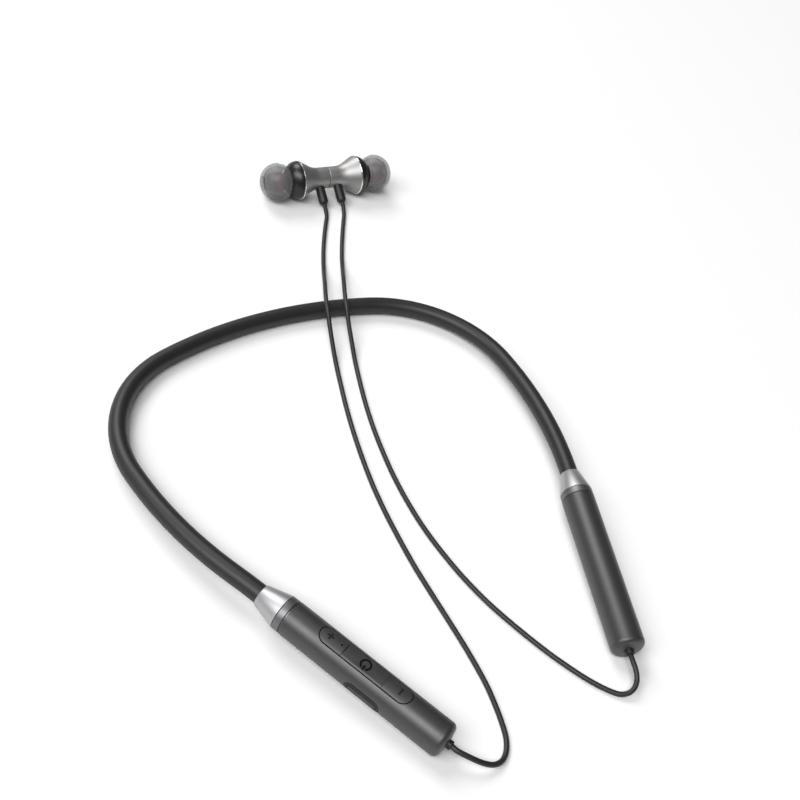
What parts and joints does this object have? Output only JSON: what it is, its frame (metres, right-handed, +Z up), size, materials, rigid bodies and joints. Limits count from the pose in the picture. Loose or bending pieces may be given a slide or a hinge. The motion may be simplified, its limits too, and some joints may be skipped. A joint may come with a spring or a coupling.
{
  "type": "neckband earphones",
  "caption": "Flexible neckband with a cylindrical pod on each end, keys and a charging socket on one pod, and two corded earbuds that snap together magnetically.",
  "frame": {"origin": "on the supporting surface under the middle of the set's bounding box, cables left out", "axes": "+X from the nape of the neckband to its open end, +Y towards the pod that holds the battery, +Z up off the surface"},
  "size_m": [0.2299, 0.1528, 0.0145],
  "materials": {
    "silicone_black": "matt",
    "plastic_black": "fine matt",
    "satin_metal": "satin",
    "bright_metal": "bright",
    "spring_wire": "drawn",
    "wire_red": "insulation",
    "wire_black": "insulation",
    "wire_blue": "insulation",
    "wire_white": "insulation",
    "board_green": "solder mask",
    "switch_black": "moulded",
    "cell_wrap": "foil",
    "foam": "foam",
    "driver_grey": "satin",
    "tip_grey": "translucent",
    "tip_red": "satin"
  },
  "bodies": {
    "neckband": {"neck_tube": "silicone_black", "memory_wire": "spring_wire", "battery_lead_positive": "wire_red", "battery_lead_negative": "wire_black", "audio_lead_signal": "wire_blue", "audio_lead_ground": "wire_white", "control_collar": "satin_metal", "battery_collar": "satin_metal", "control_pod_shell": "plastic_black", "battery_pod_shell": "plastic_black", "control_end_cap": "plastic_black", "battery_end_cap": "plastic_black", "control_cable_gland": "silicone_black", "battery_cable_gland": "silicone_black", "main_board": "board_green", "wireless_module": "bright_metal", "tact_switches": "switch_black", "microphone": "bright_metal", "charging_receptacle": "bright_metal", "battery_cell": "cell_wrap", "battery_foam_pads": "foam", "protection_board": "board_green", "control_cable": "silicone_black", "battery_cable": "silicone_black"},
    "control_bud": {"control_bud_housing": "satin_metal", "control_bud_magnet": "bright_metal", "control_bud_driver": "driver_grey", "control_bud_front": "plastic_black", "control_nozzle_mesh": "spring_wire", "control_bud_boot": "silicone_black"},
    "battery_bud": {"battery_bud_housing": "satin_metal", "battery_bud_magnet": "bright_metal", "battery_bud_driver": "driver_grey", "battery_bud_front": "plastic_black", "battery_nozzle_mesh": "spring_wire", "battery_bud_boot": "silicone_black"},
    "control_tip": {"control_eartip": "tip_grey", "control_eartip_core": "tip_red"},
    "battery_tip": {"battery_eartip": "tip_grey", "battery_eartip_core": "tip_red"},
    "charging_flap": {"charging_cover": "silicone_black"},
    "volume_up": {"volume_up_key": "plastic_black"},
    "power": {"power_key": "plastic_black"},
    "volume_down": {"volume_down_key": "plastic_black"}
  },
  "joints": [
    {"name": "volume_up_press", "type": "slide", "parent": "neckband", "child": "volume_up", "axis": [-0.0293, -0.0326, -0.999], "range_m": [0, 0.0003], "stiffness_N_per_m": 4000},
    {"name": "power_press", "type": "slide", "parent": "neckband", "child": "power", "axis": [-0.0293, -0.0326, -0.999], "range_m": [0, 0.0003], "stiffness_N_per_m": 4000},
    {"name": "volume_down_press", "type": "slide", "parent": "neckband", "child": "volume_down", "axis": [-0.0293, -0.0326, -0.999], "range_m": [0, 0.0003], "stiffness_N_per_m": 4000},
    {"name": "charging_flap_hinge", "type": "hinge", "parent": "neckband", "child": "charging_flap", "pos_m": [0.08389, -0.05388, 0.00534], "axis": [-0.0938, 0.1289, -0.9872], "range_deg": [0, 110]},
    {"name": "control_bud_pull", "type": "slide", "parent": "neckband", "child": "control_bud", "axis": [-0.1219, -0.9925, 0], "range_m": [0, 0.02]},
    {"name": "battery_bud_pull", "type": "slide", "parent": "neckband", "child": "battery_bud", "axis": [0.1219, 0.9925, 0], "range_m": [0, 0.02]},
    {"name": "control_tip_pull", "type": "slide", "parent": "control_bud", "child": "control_tip", "axis": [-0.1219, -0.9925, 0], "range_m": [0, 0.009]},
    {"name": "battery_tip_pull", "type": "slide", "parent": "battery_bud", "child": "battery_tip", "axis": [0.1219, 0.9925, 0], "range_m": [0, 0.009]}
  ]
}
